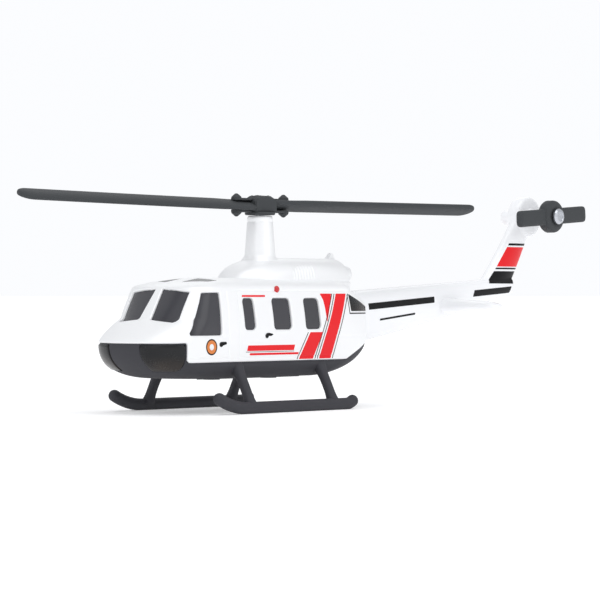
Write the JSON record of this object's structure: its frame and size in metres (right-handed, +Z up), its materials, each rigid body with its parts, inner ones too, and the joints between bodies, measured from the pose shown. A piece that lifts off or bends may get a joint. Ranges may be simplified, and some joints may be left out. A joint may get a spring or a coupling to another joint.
{
  "type": "helicopter scale model",
  "caption": "Small utility helicopter scale model with a white shell over a black base, fixed skids, and main and tail rotors that spin freely on pins.",
  "frame": {"origin": "middle of the model's bounding box, on the ground under the skids", "axes": "-Y towards the nose, +X to the port side, +Z up"},
  "size_m": [0.0268, 0.1322, 0.0375],
  "materials": {
    "white_enamel": "gloss white enamel on cast metal",
    "white_plastic": "gloss white moulded plastic",
    "smoked_clear": "smoked, nearly opaque clear moulding",
    "base_black": "satin black moulded plastic",
    "rotor_black": "satin black moulded plastic",
    "pin_steel": "bright turned steel",
    "red_print": "gloss red paint"
  },
  "bodies": {
    "airframe": {"cabin_shell": "white_enamel", "window_insert": "smoked_clear", "belly_base": "base_black", "chin_window_port": "smoked_clear", "chin_window_starboard": "smoked_clear", "front_post": "white_enamel", "rear_post": "white_enamel", "front_rivet": "pin_steel", "rear_rivet": "pin_steel", "nav_light_port": "red_print", "nav_light_starboard": "red_print", "engine_cowling": "white_enamel", "exhaust_pipe": "white_enamel", "beacon": "white_enamel", "tail_boom": "white_plastic", "stabiliser_port": "white_plastic", "stabiliser_starboard": "white_plastic", "skid_port": "base_black", "skid_starboard": "base_black", "strut_front_port": "base_black", "strut_front_starboard": "base_black", "strut_rear_port": "base_black", "strut_rear_starboard": "base_black", "main_rotor_pin": "pin_steel", "tail_rotor_pin": "pin_steel"},
    "main_rotor": {"rotor_hub": "rotor_black", "blade_front": "rotor_black", "blade_rear": "rotor_black", "blade_bolts": "rotor_black"},
    "tail_rotor": {"tail_rotor": "rotor_black"}
  },
  "joints": [
    {"name": "main_rotor_spin", "type": "hinge", "parent": "airframe", "child": "main_rotor", "pos_m": [0, -0.01876, 0.034], "axis": [0, 0, 1], "continuous": true},
    {"name": "tail_rotor_spin", "type": "hinge", "parent": "airframe", "child": "tail_rotor", "pos_m": [0.00615, 0.05574, 0.0337], "axis": [1, 0, 0], "continuous": true}
  ]
}
